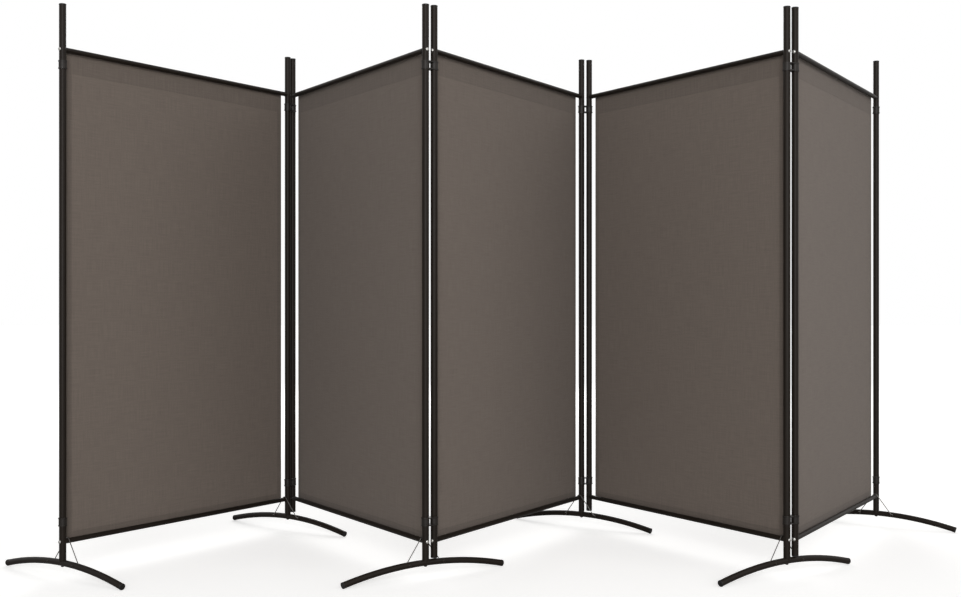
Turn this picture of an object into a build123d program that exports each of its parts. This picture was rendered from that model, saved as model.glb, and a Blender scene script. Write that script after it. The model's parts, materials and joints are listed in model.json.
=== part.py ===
from build123d import *
import math
import os

# Folding fabric screen: five flat panels in a zigzag, each a tube frame with a fabric sheet.
# Panels are joined pole to pole by double hinge links, and stand on arched feet.
# Frame: +Z up, +X along the row of panels, +Y to the rear, origin on the floor under the
# middle of the overall box. Sizes are in millimetres, angles in degrees.

os.makedirs("parts", exist_ok=True)

# Overall sizes
SCREEN_HEIGHT = 1800
PANEL_WIDTH = 1000
PANEL_TURNS = (54.6, -57.0, 57.2, -57.0, 57.2)
LINK_TURNS = (61.5, 33.6, 15.9, 22.4)

# Poles: a base tube, a main tube and a top tube on each side of a panel
POLE_D = 22
POLE_WALL = 1
POLE_CAP_HEIGHT = 4
POLE_CAP_LIP = 0.4
POLE_CAP_INSERT = 12
CAP_CHAMFER = 0.8
BARE_POLE_CLEARANCE = 2

# Hinge links and the pins that join the tubes through them
LINK_PITCH = 31.5
LINK_HEIGHT = 26
LINK_PLATE = 3.2
LINK_FLANGE_D = 27
LINK_BARREL_D = 24.6
LOWER_LINK_Z = 161
UPPER_LINK_Z = 1596
LINK_END_PLAY = 0.3
LINK_PIN_PLAY = 0.07
PIN_TUBE_PLAY = 0.05
PIN_INSERT = 28

# Crossbars
BAR_D = 16
BAR_WALL = 1
LOWER_BAR_Z = 112
UPPER_BAR_Z = 1657
BAR_PLUG = 24

# Fabric sheet, held behind the crossbars by press studs
SHEET_SIDE_GAP = 22.7
SHEET_REAR = 13.2
SHEET_THICKNESS = 1
SHEET_PAST_BAR = 6
HEM_THICKNESS = 0.6
SIDE_HEM = 20
TOP_HEM = 75
BOTTOM_HEM = 30
STUD_COUNT = 3
STUD_MARGIN = 60
STUD_D = 6
STUD_COLLAR_D = 11
STUD_CAP_D = 13
STUD_CAP_HEIGHT = 1.8

# Arched feet
FOOT_D = 20
FOOT_WALL = 1.2
FOOT_SPAN = 574
FOOT_RISE = 35
FOOT_END_Z = 10.5
FOOT_PLUG_HEAD = 5
FOOT_PLUG_LIP = 0.4
FOOT_PLUG_INSERT = 14
FOOT_PLUG_PLAY = 0.15
SADDLE_DEPTH = 6

# Brace wires from the lower crossbar down to the foot
WIRE_D = 3
BRACE_REACH = 62
BRACE_FOOT_STANDOFF = 1.5
BRACE_BAR_STANDOFF = 4.5
EYE_D = 10
EYE_SINK = 0.3

# Bolts and screws
BOLT_D = 6
BOLT_PLAY = 0.1
BOLT_HEAD_D = 11
BOLT_HEAD_HEIGHT = 3.3
SCREW_D = 5
SCREW_HEAD_D = 9
SCREW_HEAD_HEIGHT = 2.8
NUT_HEIGHT = 3
BASE_PLUG_HEIGHT = 14

# Small round pieces are drawn with few sides, and fit holes with as many
SHANK_SIDES = 6
HEAD_SIDES = 12
WIRE_SIDES = 8

# Sizes that follow
POLE_R = POLE_D / 2
BORE_R = POLE_R - POLE_WALL
PIN_R = BORE_R - PIN_TUBE_PLAY
BAR_R = BAR_D / 2
FOOT_R = FOOT_D / 2
HALF_SPAN = FOOT_SPAN / 2
FOOT_ARC_R = (HALF_SPAN**2 + FOOT_RISE**2) / (2 * FOOT_RISE)
FOOT_END_SLOPE = math.degrees(math.asin(HALF_SPAN / FOOT_ARC_R))
FOOT_CROWN_Z = FOOT_END_Z + FOOT_RISE
FOOT_TOP_Z = FOOT_CROWN_Z + FOOT_R
FOOT_BORE_R = FOOT_R - FOOT_WALL
FOOT_PLUG_R = FOOT_R + FOOT_PLUG_LIP
BARE_POLE_Z = FOOT_TOP_Z + BARE_POLE_CLEARANCE
BASE_TOP_Z = LOWER_LINK_Z - LINK_END_PLAY
MAIN_BOTTOM_Z = LOWER_LINK_Z + LINK_HEIGHT + LINK_END_PLAY
MAIN_TOP_Z = UPPER_LINK_Z - LINK_END_PLAY
TOP_BOTTOM_Z = UPPER_LINK_Z + LINK_HEIGHT + LINK_END_PLAY
TOP_TUBE_END_Z = SCREEN_HEIGHT - POLE_CAP_HEIGHT
LINK_ZS = (LOWER_LINK_Z, UPPER_LINK_Z)
BAR_ZS = (LOWER_BAR_Z, UPPER_BAR_Z)
BAR_MIDDLE_Z = (LOWER_BAR_Z + UPPER_BAR_Z) / 2
BAR_SPREAD = UPPER_BAR_Z - LOWER_BAR_Z
SHEET_WIDTH = PANEL_WIDTH - 2 * SHEET_SIDE_GAP
SHEET_HEIGHT = BAR_SPREAD + 2 * SHEET_PAST_BAR
SHEET_FRONT = SHEET_REAR - SHEET_THICKNESS / 2
SHEET_BACK = SHEET_REAR + SHEET_THICKNESS / 2
STUD_SEAT = SHEET_BACK + HEM_THICKNESS
STUD_PITCH = (SHEET_WIDTH - 2 * STUD_MARGIN) / (STUD_COUNT - 1)
WIRE_R = WIRE_D / 2
BRACE_FOOT_X = FOOT_R + BRACE_FOOT_STANDOFF + WIRE_R
BRACE_BAR_X = POLE_R + BRACE_BAR_STANDOFF + WIRE_R
BRACE_Z = FOOT_CROWN_Z - FOOT_ARC_R + math.sqrt(FOOT_ARC_R**2 - BRACE_REACH**2)

PANELS = range(len(PANEL_TURNS))
LINKS = range(len(LINK_TURNS))
POLES = (0, PANEL_WIDTH)


def heading(turn):
    return Vector(math.cos(math.radians(turn)), math.sin(math.radians(turn)), 0)


UP = Vector(0, 0, 1)
ALONG = [heading(turn) for turn in PANEL_TURNS]
REAR = [heading(turn + 90) for turn in PANEL_TURNS]

# The poles' places follow from panel to link to panel
left_poles = []
right_poles = []
pole = Vector(0, 0, 0)
for k in PANELS:
    left_poles.append(pole)
    pole = pole + ALONG[k] * PANEL_WIDTH
    right_poles.append(pole)
    if k in LINKS:
        pole = pole + heading(LINK_TURNS[k]) * LINK_PITCH


def feet(k):
    """Where panel k has feet: under its right pole, and the first panel under both."""
    return POLES if k == 0 else POLES[1:]


def foot_reach(direction):
    """How far the plugged feet reach in a level direction, measured from the first pole."""
    reaches = []
    slope = math.radians(FOOT_END_SLOPE)
    for k in PANELS:
        for x in feet(k):
            for side in (-1, 1):
                outward = REAR[k] * (side * math.cos(slope)) - UP * math.sin(slope)
                tip = left_poles[k] + ALONG[k] * x + REAR[k] * (side * HALF_SPAN)
                tip = tip + outward * FOOT_PLUG_HEAD
                tilt = outward.dot(direction)
                reaches.append(tip.dot(direction) + FOOT_PLUG_R * math.sqrt(1 - tilt**2))
    return max(reaches)


X_AXIS = Vector(1, 0, 0)
Y_AXIS = Vector(0, 1, 0)
middle_x = (foot_reach(X_AXIS) - foot_reach(X_AXIS * -1)) / 2
middle_y = (foot_reach(Y_AXIS) - foot_reach(Y_AXIS * -1)) / 2
CENTRE = Vector(middle_x, middle_y, 0)


def spot(k, x, y, z):
    """A point of panel k: x from its left pole along it, y to its rear, z above the floor."""
    return left_poles[k] - CENTRE + ALONG[k] * x + REAR[k] * y + UP * z


def level(k, x, y, z):
    """A level plane of panel k, facing up."""
    return Plane(origin=spot(k, x, y, z), x_dir=ALONG[k], z_dir=UP)


def endwise(k, x, y, z):
    """A plane square to panel k's length, facing its right pole: sketch x is to the rear."""
    return Plane(origin=spot(k, x, y, z), x_dir=REAR[k], z_dir=ALONG[k])


def rearward(k, x, y, z):
    """A plane parallel with panel k, facing its rear: sketch y is up."""
    return Plane(origin=spot(k, x, y, z), x_dir=ALONG[k] * -1, z_dir=REAR[k])


def pole_foot_z(k, x):
    """The height at which a base tube starts: in a saddle on its foot, or over its cap."""
    return FOOT_TOP_Z - SADDLE_DEPTH if x in feet(k) else BARE_POLE_Z + POLE_CAP_HEIGHT


def make_main_tubes(k):
    """The two long tubes between the lower and the upper hinge links."""
    with BuildPart() as main_tubes:
        for x in POLES:
            with BuildSketch(level(k, x, 0, MAIN_BOTTOM_Z)):
                Circle(POLE_R)
                Circle(BORE_R, mode=Mode.SUBTRACT)
            extrude(amount=MAIN_TOP_Z - MAIN_BOTTOM_Z)
    main_tubes.part.label = f"panel_{k + 1}_main_tubes"
    export_step(main_tubes.part, f"parts/panel_{k + 1}_main_tubes.step")


def make_end_tubes(k):
    """The short tubes above and below the links, which carry the crossbars."""
    with BuildPart() as end_tubes:
        for x in POLES:
            with BuildSketch(level(k, x, 0, TOP_BOTTOM_Z)):
                Circle(POLE_R)
                Circle(BORE_R, mode=Mode.SUBTRACT)
            extrude(amount=TOP_TUBE_END_Z - TOP_BOTTOM_Z)
            with BuildSketch(level(k, x, 0, pole_foot_z(k, x))):
                Circle(POLE_R)
                Circle(BORE_R, mode=Mode.SUBTRACT)
            extrude(amount=BASE_TOP_Z - pole_foot_z(k, x))
            for z in BAR_ZS:
                with BuildSketch(endwise(k, x - POLE_D, 0, z)):
                    RegularPolygon(BOLT_D / 2 + BOLT_PLAY, SHANK_SIDES)
                extrude(amount=2 * POLE_D, mode=Mode.SUBTRACT)
        for x in feet(k):
            with BuildSketch(rearward(k, x, -POLE_D, FOOT_CROWN_Z)):
                Circle(FOOT_R)
            extrude(amount=2 * POLE_D, mode=Mode.SUBTRACT)
    end_tubes.part.label = f"panel_{k + 1}_end_tubes"
    export_step(end_tubes.part, f"parts/panel_{k + 1}_end_tubes.step")


def make_connector_pins(k):
    """Pins inside the tube joints, on which the hinge links turn."""
    with BuildPart() as connector_pins:
        for x in POLES:
            for z in LINK_ZS:
                with BuildSketch(level(k, x, 0, z - PIN_INSERT)):
                    Circle(PIN_R)
                extrude(amount=LINK_HEIGHT + 2 * PIN_INSERT)
    connector_pins.part.label = f"panel_{k + 1}_connector_pins"
    export_step(connector_pins.part, f"parts/panel_{k + 1}_connector_pins.step")


def make_crossbars(k):
    """Two tubes with threaded end plugs, coped to fit round the poles."""
    with BuildPart() as crossbars:
        for z in BAR_ZS:
            with BuildSketch(endwise(k, 0, 0, z)):
                Circle(BAR_R)
                Circle(BAR_R - BAR_WALL, mode=Mode.SUBTRACT)
            extrude(amount=PANEL_WIDTH)
            for x in (POLE_R, PANEL_WIDTH - POLE_R - BAR_PLUG):
                with BuildSketch(endwise(k, x, 0, z)):
                    Circle(BAR_R - BAR_WALL)
                    RegularPolygon(BOLT_D / 2 + BOLT_PLAY, SHANK_SIDES, mode=Mode.SUBTRACT)
                extrude(amount=BAR_PLUG)
            for x in POLES:
                with BuildSketch(level(k, x, 0, z - BAR_D)):
                    Circle(POLE_R)
                extrude(amount=2 * BAR_D, mode=Mode.SUBTRACT)
        with BuildSketch(rearward(k, PANEL_WIDTH / 2, 0, BAR_MIDDLE_Z)):
            with GridLocations(STUD_PITCH, BAR_SPREAD, STUD_COUNT, 2):
                RegularPolygon(STUD_D / 2, SHANK_SIDES)
        extrude(amount=BAR_D, mode=Mode.SUBTRACT)
    crossbars.part.label = f"panel_{k + 1}_crossbars"
    export_step(crossbars.part, f"parts/panel_{k + 1}_crossbars.step")


def make_sheet(k):
    """The fabric, with hems turned to the rear and eyelets for the press studs."""
    with BuildPart() as sheet:
        with BuildSketch(rearward(k, PANEL_WIDTH / 2, SHEET_FRONT, BAR_MIDDLE_Z)):
            Rectangle(SHEET_WIDTH, SHEET_HEIGHT)
        extrude(amount=SHEET_THICKNESS)
        with BuildSketch(rearward(k, PANEL_WIDTH / 2, SHEET_BACK, BAR_MIDDLE_Z)):
            Rectangle(SHEET_WIDTH, SHEET_HEIGHT)
            with Locations((0, (BOTTOM_HEM - TOP_HEM) / 2)):
                Rectangle(
                    SHEET_WIDTH - 2 * SIDE_HEM,
                    SHEET_HEIGHT - TOP_HEM - BOTTOM_HEM,
                    mode=Mode.SUBTRACT,
                )
        extrude(amount=HEM_THICKNESS)
        with BuildSketch(rearward(k, PANEL_WIDTH / 2, 0, BAR_MIDDLE_Z)):
            with GridLocations(STUD_PITCH, BAR_SPREAD, STUD_COUNT, 2):
                RegularPolygon(STUD_D / 2, SHANK_SIDES)
        extrude(amount=2 * SHEET_BACK, mode=Mode.SUBTRACT)
    sheet.part.label = f"panel_{k + 1}_sheet"
    export_step(sheet.part, f"parts/panel_{k + 1}_sheet.step")


def make_sheet_studs(k):
    """Press studs: a post in the crossbar's rear wall, a collar, and a cap behind the sheet."""
    stud_steps = (
        (BAR_R - BAR_WALL, STUD_SEAT, STUD_D, SHANK_SIDES),
        (BAR_R, SHEET_FRONT, STUD_COLLAR_D, HEAD_SIDES),
        (STUD_SEAT, STUD_SEAT + STUD_CAP_HEIGHT, STUD_CAP_D, HEAD_SIDES),
    )
    with BuildPart() as sheet_studs:
        for start, end, diameter, sides in stud_steps:
            with BuildSketch(rearward(k, PANEL_WIDTH / 2, start, BAR_MIDDLE_Z)):
                with GridLocations(STUD_PITCH, BAR_SPREAD, STUD_COUNT, 2):
                    RegularPolygon(diameter / 2, sides)
            extrude(amount=end - start)
    sheet_studs.part.label = f"panel_{k + 1}_sheet_studs"
    export_step(sheet_studs.part, f"parts/panel_{k + 1}_sheet_studs.step")


def make_foot(k):
    """Arched foot tubes, square to the panel, drilled for the brace screws and the pole bolt."""
    with BuildPart() as foot:
        for x in feet(k):
            with BuildLine(endwise(k, x, 0, 0)) as arch:
                ThreePointArc(
                    (-HALF_SPAN, FOOT_END_Z), (0, FOOT_CROWN_Z), (HALF_SPAN, FOOT_END_Z)
                )
            with BuildSketch(Plane(origin=arch.line @ 0, z_dir=arch.line % 0)):
                Circle(FOOT_R)
                Circle(FOOT_BORE_R, mode=Mode.SUBTRACT)
            sweep(path=arch.line)
            for y in (-BRACE_REACH, BRACE_REACH):
                with BuildSketch(endwise(k, x - FOOT_D, y, BRACE_Z)):
                    RegularPolygon(SCREW_D / 2 + BOLT_PLAY, SHANK_SIDES)
                extrude(amount=2 * FOOT_D, mode=Mode.SUBTRACT)
            with BuildSketch(level(k, x, 0, FOOT_CROWN_Z - FOOT_D)):
                RegularPolygon(BOLT_D / 2 + BOLT_PLAY, SHANK_SIDES)
            extrude(amount=2 * FOOT_D, mode=Mode.SUBTRACT)
    foot.part.label = f"panel_{k + 1}_foot"
    export_step(foot.part, f"parts/panel_{k + 1}_foot.step")


def make_caps(k):
    """Plastic caps and plugs: pole tops, threaded base plug or bare pole end, and foot ends."""
    with BuildPart() as caps:
        for x in POLES:
            with BuildSketch(level(k, x, 0, TOP_TUBE_END_Z)):
                Circle(POLE_R + POLE_CAP_LIP)
            extrude(amount=POLE_CAP_HEIGHT)
            cap_top = caps.faces(Select.LAST).sort_by(Axis.Z)[-1]
            chamfer(cap_top.edges(), length=CAP_CHAMFER)
            with BuildSketch(level(k, x, 0, TOP_TUBE_END_Z - POLE_CAP_INSERT)):
                RegularPolygon(BORE_R, HEAD_SIDES)
            extrude(amount=POLE_CAP_INSERT)
            if x in feet(k):
                with BuildSketch(level(k, x, 0, FOOT_TOP_Z)):
                    RegularPolygon(BORE_R, HEAD_SIDES)
                    RegularPolygon(BOLT_D / 2 + BOLT_PLAY, SHANK_SIDES, mode=Mode.SUBTRACT)
                extrude(amount=BASE_PLUG_HEIGHT)
            else:
                with BuildSketch(level(k, x, 0, BARE_POLE_Z)):
                    Circle(POLE_R)
                extrude(amount=POLE_CAP_HEIGHT)
                cap_base = caps.faces(Select.LAST).sort_by(Axis.Z)[0]
                chamfer(cap_base.edges(), length=CAP_CHAMFER)
                with BuildSketch(level(k, x, 0, BARE_POLE_Z + POLE_CAP_HEIGHT)):
                    RegularPolygon(BORE_R, HEAD_SIDES)
                extrude(amount=POLE_CAP_INSERT)
        slope = math.radians(FOOT_END_SLOPE)
        for x in feet(k):
            for side in (-1, 1):
                outward = REAR[k] * (side * math.cos(slope)) - UP * math.sin(slope)
                tube_end = Plane(
                    origin=spot(k, x, side * HALF_SPAN, FOOT_END_Z), x_dir=ALONG[k], z_dir=outward
                )
                with BuildSketch(tube_end):
                    Circle(FOOT_PLUG_R)
                extrude(amount=FOOT_PLUG_HEAD)
                plug_tip = caps.faces(Select.LAST).sort_by(Axis((0, 0, 0), outward))[-1]
                chamfer(plug_tip.edges(), length=CAP_CHAMFER)
                with BuildSketch(tube_end.offset(-FOOT_PLUG_INSERT)):
                    RegularPolygon(FOOT_BORE_R - FOOT_PLUG_PLAY, HEAD_SIDES)
                extrude(amount=FOOT_PLUG_INSERT)
        split(bisect_by=Plane.XY, keep=Keep.TOP)
    caps.part.label = f"panel_{k + 1}_caps"
    export_step(caps.part, f"parts/panel_{k + 1}_caps.step")


def make_braces(k):
    """Steel wires hooked over the lower crossbar, with an eye at each end on the foot."""
    lean = math.atan2(BRACE_BAR_X - BRACE_FOOT_X, LOWER_BAR_Z - BRACE_Z)
    wrap_r = BAR_R / math.cos(lean) + WIRE_R
    bar_height = (LOWER_BAR_Z - BRACE_Z) / math.cos(lean)
    to_bar = math.hypot(BRACE_REACH, bar_height)
    leg_angle = math.atan2(BRACE_REACH, bar_height) - math.asin(wrap_r / to_bar)
    apex = bar_height + wrap_r / math.sin(leg_angle)
    eye_r = EYE_D / 2
    leg_y = BRACE_REACH - (eye_r - EYE_SINK) * math.sin(leg_angle)
    leg_z = (eye_r - EYE_SINK) * math.cos(leg_angle)
    with BuildPart() as braces:
        for x in feet(k):
            inward = 1 if x == 0 else -1
            upward = UP * math.cos(lean) + ALONG[k] * (inward * math.sin(lean))
            wire_plane = Plane(
                origin=spot(k, x + inward * BRACE_FOOT_X, 0, BRACE_Z),
                x_dir=REAR[k],
                z_dir=REAR[k].cross(upward),
            )
            with BuildLine(wire_plane) as route:
                FilletPolyline((-leg_y, leg_z), (0, apex), (leg_y, leg_z), radius=wrap_r)
            with BuildSketch(Plane(origin=route.line @ 0, z_dir=route.line % 0)):
                RegularPolygon(WIRE_R, WIRE_SIDES)
            sweep(path=route.line)
            for y in (-BRACE_REACH, BRACE_REACH):
                with BuildSketch(endwise(k, x + inward * BRACE_FOOT_X - WIRE_R, y, BRACE_Z)):
                    RegularPolygon(eye_r, HEAD_SIDES)
                    RegularPolygon(SCREW_D / 2 + BOLT_PLAY, SHANK_SIDES, mode=Mode.SUBTRACT)
                extrude(amount=WIRE_D)
    braces.part.label = f"panel_{k + 1}_braces"
    export_step(braces.part, f"parts/panel_{k + 1}_braces.step")


def make_bolts(k):
    """Crossbar bolts, brace screws with their nuts, and the bolt up into each footed pole."""
    with BuildPart() as bolts:
        for x in POLES:
            inward = 1 if x == 0 else -1
            for z in BAR_ZS:
                seat = endwise(k, x - inward * POLE_R, 0, z)
                with BuildSketch(seat):
                    RegularPolygon(BOLT_HEAD_D / 2, HEAD_SIDES)
                extrude(amount=-inward * BOLT_HEAD_HEIGHT)
                with BuildSketch(seat):
                    RegularPolygon(BOLT_D / 2, SHANK_SIDES)
                extrude(amount=inward * (POLE_D + BAR_PLUG))
        for x in feet(k):
            inward = 1 if x == 0 else -1
            for y in (-BRACE_REACH, BRACE_REACH):
                seat = endwise(k, x - inward * FOOT_R, y, BRACE_Z)
                eye_face = BRACE_FOOT_X + WIRE_R
                with BuildSketch(seat):
                    RegularPolygon(SCREW_HEAD_D / 2, HEAD_SIDES)
                extrude(amount=-inward * SCREW_HEAD_HEIGHT)
                with BuildSketch(seat):
                    RegularPolygon(SCREW_D / 2, SHANK_SIDES)
                extrude(amount=inward * (FOOT_R + eye_face + NUT_HEIGHT))
                with BuildSketch(endwise(k, x + inward * FOOT_R, y, BRACE_Z)):
                    RegularPolygon(EYE_D / 2, HEAD_SIDES)
                extrude(amount=inward * BRACE_FOOT_STANDOFF)
                with BuildSketch(endwise(k, x + inward * eye_face, y, BRACE_Z)):
                    RegularPolygon(SCREW_HEAD_D / 2, SHANK_SIDES)
                extrude(amount=inward * NUT_HEIGHT)
            underside = FOOT_CROWN_Z - FOOT_R - BOLT_PLAY
            with BuildSketch(level(k, x, 0, underside - BOLT_HEAD_HEIGHT)):
                RegularPolygon(BOLT_HEAD_D / 2, HEAD_SIDES)
            extrude(amount=BOLT_HEAD_HEIGHT)
            with BuildSketch(level(k, x, 0, underside)):
                RegularPolygon(BOLT_D / 2, SHANK_SIDES)
            extrude(amount=FOOT_D + BASE_PLUG_HEIGHT)
    bolts.part.label = f"panel_{k + 1}_bolts"
    export_step(bolts.part, f"parts/panel_{k + 1}_bolts.step")


def make_link(k):
    """A double hinge link, low and high: two rings joined by slotted plates."""
    middle = right_poles[k] - CENTRE + heading(LINK_TURNS[k]) * (LINK_PITCH / 2)
    with BuildPart() as link:
        for z in LINK_ZS:
            ground = Plane(origin=middle + UP * z, x_dir=heading(LINK_TURNS[k]), z_dir=UP)
            for rise in (0, LINK_HEIGHT - LINK_PLATE):
                with BuildSketch(ground.offset(rise)):
                    SlotCenterToCenter(LINK_PITCH, LINK_FLANGE_D)
                extrude(amount=LINK_PLATE)
            with BuildSketch(ground):
                with GridLocations(LINK_PITCH, 1, 2, 1):
                    Circle(LINK_BARREL_D / 2)
            extrude(amount=LINK_HEIGHT)
            with BuildSketch(ground):
                with GridLocations(LINK_PITCH, 1, 2, 1):
                    Circle(PIN_R + LINK_PIN_PLAY)
            extrude(amount=LINK_HEIGHT, mode=Mode.SUBTRACT)
    link.part.label = f"hinge_link_{k + 1}"
    export_step(link.part, f"parts/hinge_link_{k + 1}.step")


def make_end_rings(k, x, name):
    """Single rings that finish the outer poles where no panel follows."""
    with BuildPart() as end_rings:
        for z in LINK_ZS:
            with BuildSketch(level(k, x, 0, z)):
                Circle(LINK_BARREL_D / 2)
            extrude(amount=LINK_HEIGHT)
            for rise in (0, LINK_HEIGHT - LINK_PLATE):
                with BuildSketch(level(k, x, 0, z + rise)):
                    Circle(LINK_FLANGE_D / 2)
                extrude(amount=LINK_PLATE)
            with BuildSketch(level(k, x, 0, z)):
                Circle(PIN_R + LINK_PIN_PLAY)
            extrude(amount=LINK_HEIGHT, mode=Mode.SUBTRACT)
    end_rings.part.label = name
    export_step(end_rings.part, f"parts/{name}.step")


for k in PANELS:
    make_main_tubes(k)
    make_end_tubes(k)
    make_connector_pins(k)
    make_crossbars(k)
    make_sheet(k)
    make_sheet_studs(k)
    make_foot(k)
    make_caps(k)
    make_braces(k)
    make_bolts(k)
for k in LINKS:
    make_link(k)
make_end_rings(PANELS[0], 0, "end_rings_left")
make_end_rings(PANELS[-1], PANEL_WIDTH, "end_rings_right")

print("Each sheet, flat, with its hems turned out:", SHEET_WIDTH + 2 * SIDE_HEM, "by",
      SHEET_HEIGHT + TOP_HEM + BOTTOM_HEM)
for k in PANELS:
    print("panel", k + 1, "left pole", spot(k, 0, 0, 0), "right pole", spot(k, PANEL_WIDTH, 0, 0))
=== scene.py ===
# %% [markdown]
# # A folding fabric screen, dressed in Blender
# The solids of this screen are already made: tubes, hinge links, feet, caps and plain sheets.
# Here each one gets the finish of the real thing, and the sheets and fasteners, which need
# more than a plain solid, are built again as sewn cloth and pressed steel.

# %% Load the solids
import json
import math

import bmesh
import bpy
import numpy as np
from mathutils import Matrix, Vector

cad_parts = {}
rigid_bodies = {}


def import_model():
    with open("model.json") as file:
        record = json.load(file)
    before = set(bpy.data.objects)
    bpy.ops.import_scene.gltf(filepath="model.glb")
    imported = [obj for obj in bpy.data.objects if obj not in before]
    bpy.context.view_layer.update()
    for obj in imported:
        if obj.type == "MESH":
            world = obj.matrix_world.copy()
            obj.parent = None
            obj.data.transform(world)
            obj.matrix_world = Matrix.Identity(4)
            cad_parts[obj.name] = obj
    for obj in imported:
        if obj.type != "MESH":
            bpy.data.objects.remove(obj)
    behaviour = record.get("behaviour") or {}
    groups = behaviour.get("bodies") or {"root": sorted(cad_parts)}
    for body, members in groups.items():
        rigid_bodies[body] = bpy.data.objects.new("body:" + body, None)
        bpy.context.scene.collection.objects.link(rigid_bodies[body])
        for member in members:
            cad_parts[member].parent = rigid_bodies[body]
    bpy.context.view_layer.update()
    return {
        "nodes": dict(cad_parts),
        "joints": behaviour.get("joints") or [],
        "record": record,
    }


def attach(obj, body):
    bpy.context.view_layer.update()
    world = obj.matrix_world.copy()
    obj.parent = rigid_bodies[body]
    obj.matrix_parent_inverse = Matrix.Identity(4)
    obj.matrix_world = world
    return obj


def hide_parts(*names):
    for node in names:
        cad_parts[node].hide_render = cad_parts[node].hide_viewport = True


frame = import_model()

nodes = frame["nodes"]

# %% [markdown]
# ## The camera
# The picture to match is 961 pixels wide and 597 high. Its upright poles are parallel, so the
# camera looked level along +Y. A level camera needs only a place, a focal length and a small
# shift, which moves the frame without tilting the poles.

# %% Camera
PICTURE_WIDTH = 961
PICTURE_HEIGHT = 597
FOCAL_PIXELS = 1190.44
AXIS_PIXEL = (473.44, 302.52)
CAMERA_PLACE = (-0.1404, -4.1739, 0.8625)
SENSOR_MM = 36

camera_data = bpy.data.cameras.new("level_camera")
camera_data.sensor_width = SENSOR_MM
camera_data.lens = SENSOR_MM * FOCAL_PIXELS / PICTURE_WIDTH
camera_data.shift_x = (PICTURE_WIDTH / 2 - AXIS_PIXEL[0]) / PICTURE_WIDTH
camera_data.shift_y = (AXIS_PIXEL[1] - PICTURE_HEIGHT / 2) / PICTURE_WIDTH
camera = bpy.data.objects.new("level_camera", camera_data)
camera.location = CAMERA_PLACE
camera.rotation_euler = (math.pi / 2, 0, 0)
bpy.context.scene.collection.objects.link(camera)
bpy.context.scene.camera = camera
print("lens:", round(camera_data.lens, 2), "mm")

# %% [markdown]
# ## Panels as their own frames
# Every panel is the same, only turned and placed. So each shape is worked out once, in a
# panel's own measures: x along it from its left pole, y to its rear and z up. One function
# carries arrays of such points to where the panel stands. The hinge joints say where the
# poles are, and the panels' turns follow from the zigzag.

# %% Panel frames
MM = 0.001
PANEL_WIDTH = 1000 * MM
PANEL_TURNS = (54.6, -57.0, 57.2, -57.0, 57.2)
PANELS = range(len(PANEL_TURNS))


def heading(turn):
    """A level unit vector, turned by so many degrees from +X."""
    return np.array([math.cos(math.radians(turn)), math.sin(math.radians(turn)), 0.0])


def pole_at(panel, link):
    """The place of the pole on which a panel and a link turn, from their joint."""
    for joint in frame["joints"]:
        if {joint["parent"], joint["child"]} == {f"panel_{panel + 1}", f"link_{link + 1}"}:
            return np.array([joint["pos_m"][0], joint["pos_m"][1], 0.0])


left_poles = [
    pole_at(0, 0) - heading(PANEL_TURNS[0]) * PANEL_WIDTH if k == 0 else pole_at(k, k - 1)
    for k in PANELS
]


def placed(k, points):
    """Points of panel k, an array of x, y, z in its own measures, in the common frame."""
    along, rear = heading(PANEL_TURNS[k]), heading(PANEL_TURNS[k] + 90)
    flat = left_poles[k] + points[..., :1] * along + points[..., 1:2] * rear
    return flat + points[..., 2:] * np.array([0.0, 0.0, 1.0])


for k in PANELS:
    print("panel", k + 1, "left pole:", np.round(left_poles[k][:2], 4))

# %% [markdown]
# ## From arrays to meshes
# A surface is a grid of points, rows by columns. Its faces join neighbours in the grid, and a
# shape that runs round comes back to its first column. Points that fall together, such as
# the end of a dome, are merged, and then all faces are turned outwards.

# %% Mesh helpers
def grid_faces(rows, columns, around):
    """Four corners for each face of a grid. around joins the last column to the first."""
    row = np.arange(rows - 1)[:, None]
    column = np.arange(columns if around else columns - 1)[None, :]
    after = (column + 1) % columns
    corners = (row * columns + column, row * columns + after,
               (row + 1) * columns + after, (row + 1) * columns + column)
    return np.stack([c + 0 * row for c in corners], axis=-1).reshape(-1, 4)


def mesh_piece(name, points, faces, closed=True):
    """A smooth-shaded object at the origin from points (n, 3) and four-cornered faces (m, 4)."""
    mesh = bpy.data.meshes.new(name)
    mesh.vertices.add(len(points))
    mesh.vertices.foreach_set("co", np.asarray(points, np.float32).ravel())
    mesh.loops.add(faces.size)
    mesh.loops.foreach_set("vertex_index", faces.astype(np.int32).ravel())
    mesh.polygons.add(len(faces))
    mesh.polygons.foreach_set("loop_start", np.arange(0, faces.size, 4, dtype=np.int32))
    mesh.polygons.foreach_set("use_smooth", np.ones(len(faces), bool))
    mesh.update(calc_edges=True)
    if closed:
        work = bmesh.new()
        work.from_mesh(mesh)
        bmesh.ops.remove_doubles(work, verts=work.verts, dist=1e-6)
        bmesh.ops.recalc_face_normals(work, faces=work.faces)
        work.to_mesh(mesh)
        work.free()
    piece = bpy.data.objects.new(name, mesh)
    bpy.context.scene.collection.objects.link(piece)
    return piece


def split_edges(piece, angle=35):
    """Keeps edges sharper than so many degrees crisp in smooth shading."""
    crisp = piece.modifiers.new("crisp_edges", "EDGE_SPLIT")
    crisp.split_angle = math.radians(angle)


def many_grids(grids):
    """Points and faces of several round shapes, each an array (rows, columns, 3), as one mesh."""
    points, faces, count = [], [], 0
    for grid in grids:
        points.append(grid.reshape(-1, 3))
        faces.append(grid_faces(grid.shape[0], grid.shape[1], around=True) + count)
        count += grid.shape[0] * grid.shape[1]
    return np.concatenate(points), np.concatenate(faces)


# %% [markdown]
# ## Colours and nodes
# Colours are written as they are read off a swatch, in sRGB hex, and shaders work in linear
# light. One function turns the first into the second. One more adds a node, sets what it is
# given by name, and links its inputs, so that each material below reads as a short list.

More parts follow.
